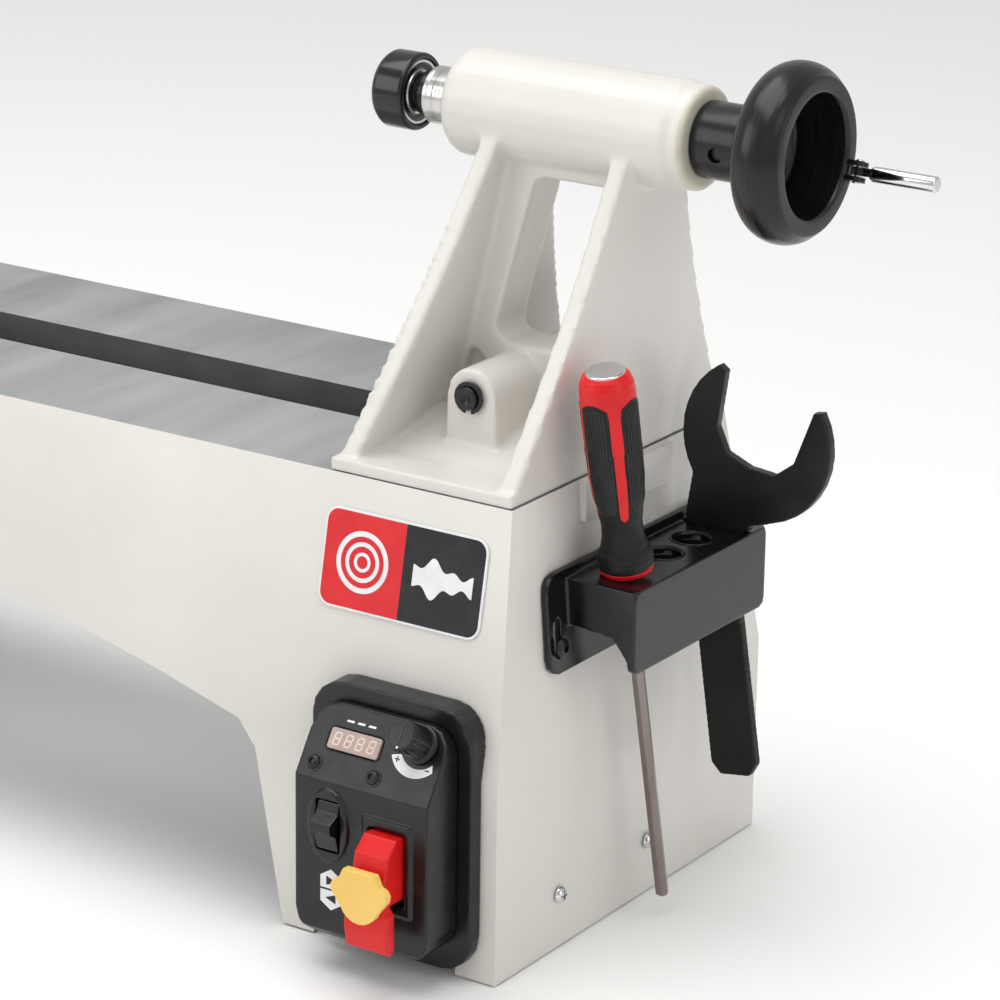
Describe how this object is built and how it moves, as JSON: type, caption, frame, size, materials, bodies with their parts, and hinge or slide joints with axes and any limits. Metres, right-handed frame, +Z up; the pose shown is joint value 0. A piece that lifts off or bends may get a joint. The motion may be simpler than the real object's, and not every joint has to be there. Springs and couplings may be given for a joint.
{
  "type": "wood lathe",
  "caption": "Bench-top wood lathe: cast bed on two legs with headstock, tool rest, sliding tailstock with handwheel, control box and tool holder.",
  "frame": {"origin": "middle of the footprint of the whole machine, on the bench", "axes": "+X along the bed from the headstock to the tailstock, -Y towards the operator, +Z up"},
  "size_m": [1.0512, 0.3168, 0.4428],
  "materials": {
    "badge_plate": "thin plate, black and red halves",
    "banjo": "smooth cream enamel over cast iron, machined faces bare",
    "banjo_bolt": "bright turned steel",
    "banjo_clamp_plate": "black oxide steel",
    "banjo_lever": "black oxide steel",
    "barrel_bushing": "bright turned steel",
    "bed": "smooth cream enamel over cast iron, machined faces bare",
    "belt_door": "smooth cream enamel over cast iron, machined faces bare",
    "cam_shaft": "black oxide steel",
    "clamp_lever": "black oxide steel",
    "control_cover": "fine-grained black moulding",
    "control_plate": "fine-grained black moulding",
    "cover_screw_left": "black oxide steel",
    "cover_screw_right": "black oxide steel",
    "crank_handle": "polished plating",
    "crank_pin": "polished plating",
    "direction_rocker": "fine-grained black moulding",
    "display_window": "smoked display window",
    "door_latch": "fine-grained black moulding",
    "drive_belt": "ribbed black rubber belt",
    "driver_handle": "moulded red plastic, semi-gloss",
    "driver_shaft": "bronze-grey hardened steel",
    "end_screw_front": "polished plating",
    "end_screw_rear": "polished plating",
    "front_bearing": "bright turned steel",
    "headstock": "smooth cream enamel over cast iron, machined faces bare",
    "holder_screw_front": "black oxide steel",
    "holder_screw_rear": "black oxide steel",
    "hub_set_screw": "black oxide steel",
    "index_pin": "black oxide steel",
    "live_centre_arbor": "bright turned steel",
    "live_centre_bearing": "bright turned steel",
    "live_centre_cup": "black anodised, satin",
    "motor_body": "black anodised, satin",
    "motor_plate": "black oxide steel",
    "motor_pulley": "turned aluminium",
    "motor_shaft": "bright turned steel",
    "post_lock": "black anodised, satin",
    "power_inlet": "fine-grained black moulding",
    "quill": "bright turned steel",
    "quill_lock_lever": "black anodised, satin",
    "quill_screw": "bright turned steel",
    "rear_bearing": "bright turned steel",
    "rest_bar": "smooth cream enamel over cast iron, machined faces bare",
    "rest_post": "bright turned steel",
    "retaining_clip": "black oxide steel",
    "safety_key": "yellow moulded plastic",
    "speed_knob": "fine-grained black moulding",
    "spindle": "bright turned steel",
    "spindle_handwheel": "black anodised, satin",
    "spindle_pulley": "turned aluminium",
    "spindle_wrench": "black painted steel plate",
    "spur_centre": "bright turned steel",
    "switch_paddle": "moulded red plastic, semi-gloss",
    "tail_clamp_bolt": "bright turned steel",
    "tail_clamp_plate": "black oxide steel",
    "tail_handwheel": "black anodised, satin",
    "tailstock": "smooth cream enamel over cast iron, machined faces bare",
    "tension_lever": "black oxide steel",
    "tool_holder": "fine-grained black moulding"
  },
  "bodies": {
    "lathe": {"bed": "bed", "end_screw_front": "end_screw_front", "end_screw_rear": "end_screw_rear", "badge_plate": "badge_plate", "headstock": "headstock", "front_bearing": "front_bearing", "rear_bearing": "rear_bearing", "drive_belt": "drive_belt", "control_plate": "control_plate", "control_cover": "control_cover", "display_window": "display_window", "cover_screw_left": "cover_screw_left", "cover_screw_right": "cover_screw_right", "tool_holder": "tool_holder", "holder_screw_front": "holder_screw_front", "holder_screw_rear": "holder_screw_rear", "power_inlet": "power_inlet"},
    "door": {"belt_door": "belt_door"},
    "latch": {"door_latch": "door_latch"},
    "spindle_line": {"spindle": "spindle", "spindle_pulley": "spindle_pulley", "spindle_handwheel": "spindle_handwheel", "spur_centre": "spur_centre"},
    "motor_mount": {"motor_plate": "motor_plate", "motor_body": "motor_body", "tension_lever": "tension_lever"},
    "motor_rotor": {"motor_shaft": "motor_shaft", "motor_pulley": "motor_pulley"},
    "index": {"index_pin": "index_pin"},
    "tail_slide": {"tailstock": "tailstock", "barrel_bushing": "barrel_bushing"},
    "tail_clamp": {"tail_clamp_bolt": "tail_clamp_bolt", "tail_clamp_plate": "tail_clamp_plate"},
    "tail_cam": {"cam_shaft": "cam_shaft", "clamp_lever": "clamp_lever", "retaining_clip": "retaining_clip"},
    "quill_unit": {"quill": "quill", "live_centre_arbor": "live_centre_arbor", "live_centre_bearing": "live_centre_bearing"},
    "cup": {"live_centre_cup": "live_centre_cup"},
    "wheel": {"tail_handwheel": "tail_handwheel", "hub_set_screw": "hub_set_screw", "quill_screw": "quill_screw", "crank_pin": "crank_pin"},
    "crank": {"crank_handle": "crank_handle"},
    "quill_lock": {"quill_lock_lever": "quill_lock_lever"},
    "rest_clamp": {"banjo_clamp_plate": "banjo_clamp_plate"},
    "rest_bolt": {"banjo_bolt": "banjo_bolt"},
    "rest_base": {"banjo": "banjo"},
    "rest_cam": {"banjo_lever": "banjo_lever"},
    "post": {"rest_post": "rest_post"},
    "rest": {"rest_bar": "rest_bar"},
    "post_clamp": {"post_lock": "post_lock"},
    "knob": {"speed_knob": "speed_knob"},
    "rocker": {"direction_rocker": "direction_rocker"},
    "paddle": {"switch_paddle": "switch_paddle"},
    "key": {"safety_key": "safety_key"},
    "driver": {"driver_handle": "driver_handle", "driver_shaft": "driver_shaft"},
    "wrench": {"spindle_wrench": "spindle_wrench"}
  },
  "joints": [
    {"name": "belt_door_hinge", "type": "hinge", "parent": "lathe", "child": "door", "pos_m": [-0.4626, -0.06859, 0.244], "axis": [0, 0, -1], "range_deg": [0, 110]},
    {"name": "door_latch_turn", "type": "hinge", "parent": "door", "child": "latch", "pos_m": [-0.3916, -0.06659, 0.33237], "axis": [0, 1, 0], "range_deg": [0, 90]},
    {"name": "spindle_turn", "type": "hinge", "parent": "lathe", "child": "spindle_line", "pos_m": [-0.5196, 0.01371, 0.38075], "axis": [1, 0, 0], "continuous": true},
    {"name": "motor_plate_swing", "type": "hinge", "parent": "lathe", "child": "motor_mount", "pos_m": [-0.3563, -0.04029, 0.115], "axis": [1, 0, 0], "range_deg": [0, 3]},
    {"name": "motor_turn", "type": "hinge", "parent": "motor_mount", "child": "motor_rotor", "pos_m": [-0.3563, 0.01371, 0.115], "axis": [1, 0, 0], "continuous": true},
    {"name": "index_pin_pull", "type": "slide", "parent": "lathe", "child": "index", "axis": [0, -1, 0], "range_m": [0, 0.01]},
    {"name": "tailstock_travel", "type": "slide", "parent": "lathe", "child": "tail_slide", "axis": [1, 0, 0], "range_m": [-0.2, 0]},
    {"name": "tail_cam_turn", "type": "hinge", "parent": "tail_slide", "child": "tail_cam", "pos_m": [0.3337, 0.01371, 0.256], "axis": [0, 1, 0], "range_deg": [0, 60]},
    {"name": "tail_clamp_drop", "type": "slide", "parent": "tail_slide", "child": "tail_clamp", "axis": [0, 0, 1], "range_m": [-0.0015, 0]},
    {"name": "tail_wheel_turn", "type": "hinge", "parent": "tail_slide", "child": "wheel", "pos_m": [0.425, 0.01371, 0.38075], "axis": [1, 0, 0], "range_deg": [0, 4320]},
    {"name": "quill_travel", "type": "slide", "parent": "tail_slide", "child": "quill_unit", "axis": [-1, 0, 0], "range_m": [0, 0.048]},
    {"name": "live_centre_turn", "type": "hinge", "parent": "quill_unit", "child": "cup", "pos_m": [0.2514, 0.01371, 0.38075], "axis": [1, 0, 0], "continuous": true},
    {"name": "crank_fold", "type": "hinge", "parent": "wheel", "child": "crank", "pos_m": [0.4856, 0.04384, 0.36857], "axis": [0, -0.3746, -0.9272], "range_deg": [0, 88]},
    {"name": "quill_lock_turn", "type": "hinge", "parent": "tail_slide", "child": "quill_lock", "pos_m": [0.3294, 0.03921, 0.38075], "axis": [0, 1, 0], "range_deg": [-60, 60]},
    {"name": "rest_travel", "type": "slide", "parent": "lathe", "child": "rest_clamp", "axis": [1, 0, 0], "range_m": [0, 0.15]},
    {"name": "rest_swivel", "type": "hinge", "parent": "rest_clamp", "child": "rest_bolt", "pos_m": [-0.1106, 0.01371, 0.2223], "axis": [0, 0, 1], "range_deg": [-20, 20]},
    {"name": "rest_reach", "type": "slide", "parent": "rest_bolt", "child": "rest_base", "axis": [0, 1, 0], "range_m": [-0.03, 0.018]},
    {"name": "rest_cam_turn", "type": "hinge", "parent": "rest_base", "child": "rest_cam", "pos_m": [-0.1106, 0.01371, 0.2413], "axis": [0, 1, 0], "range_deg": [-60, 60]},
    {"name": "rest_height", "type": "slide", "parent": "rest_base", "child": "post", "axis": [0, 0, 1], "range_m": [0, 0.035]},
    {"name": "rest_bar_turn", "type": "hinge", "parent": "post", "child": "rest", "pos_m": [-0.1106, -0.05029, 0.34775], "axis": [0, 0, 1], "range_deg": [-30, 30]},
    {"name": "post_lock_turn", "type": "hinge", "parent": "rest_base", "child": "post_clamp", "pos_m": [-0.0916, -0.05029, 0.2743], "axis": [1, 0, 0], "range_deg": [-35, 35]},
    {"name": "speed_knob_turn", "type": "hinge", "parent": "lathe", "child": "knob", "pos_m": [0.3644, -0.12049, 0.11794], "axis": [0, 0.8403, -0.5421], "range_deg": [0, 270]},
    {"name": "rocker_tilt", "type": "hinge", "parent": "lathe", "child": "rocker", "pos_m": [0.3239, -0.13329, 0.074], "axis": [1, 0, 0], "range_deg": [-6, 6]},
    {"name": "paddle_lift", "type": "hinge", "parent": "lathe", "child": "paddle", "pos_m": [0.3564, -0.13379, 0.075], "axis": [-1, 0, 0], "range_deg": [0, 15]},
    {"name": "safety_key_pull", "type": "slide", "parent": "paddle", "child": "key", "axis": [0, -1, 0], "range_m": [0, 0.02]},
    {"name": "driver_lift", "type": "slide", "parent": "lathe", "child": "driver", "axis": [-0.026, -0.184, 0.9826], "range_m": [0, 0.15]},
    {"name": "wrench_lift", "type": "slide", "parent": "lathe", "child": "wrench", "axis": [-0.1483, 0, 0.9889], "range_m": [0, 0.012]}
  ],
  "couplings": [
    {"joint": "motor_turn", "follows": "spindle_turn", "ratio": 1.4444},
    {"joint": "tail_clamp_drop", "follows": "tail_cam_turn", "m_per_rad": -0.0014324},
    {"joint": "quill_travel", "follows": "tail_wheel_turn", "m_per_rad": 0.00063662}
  ]
}
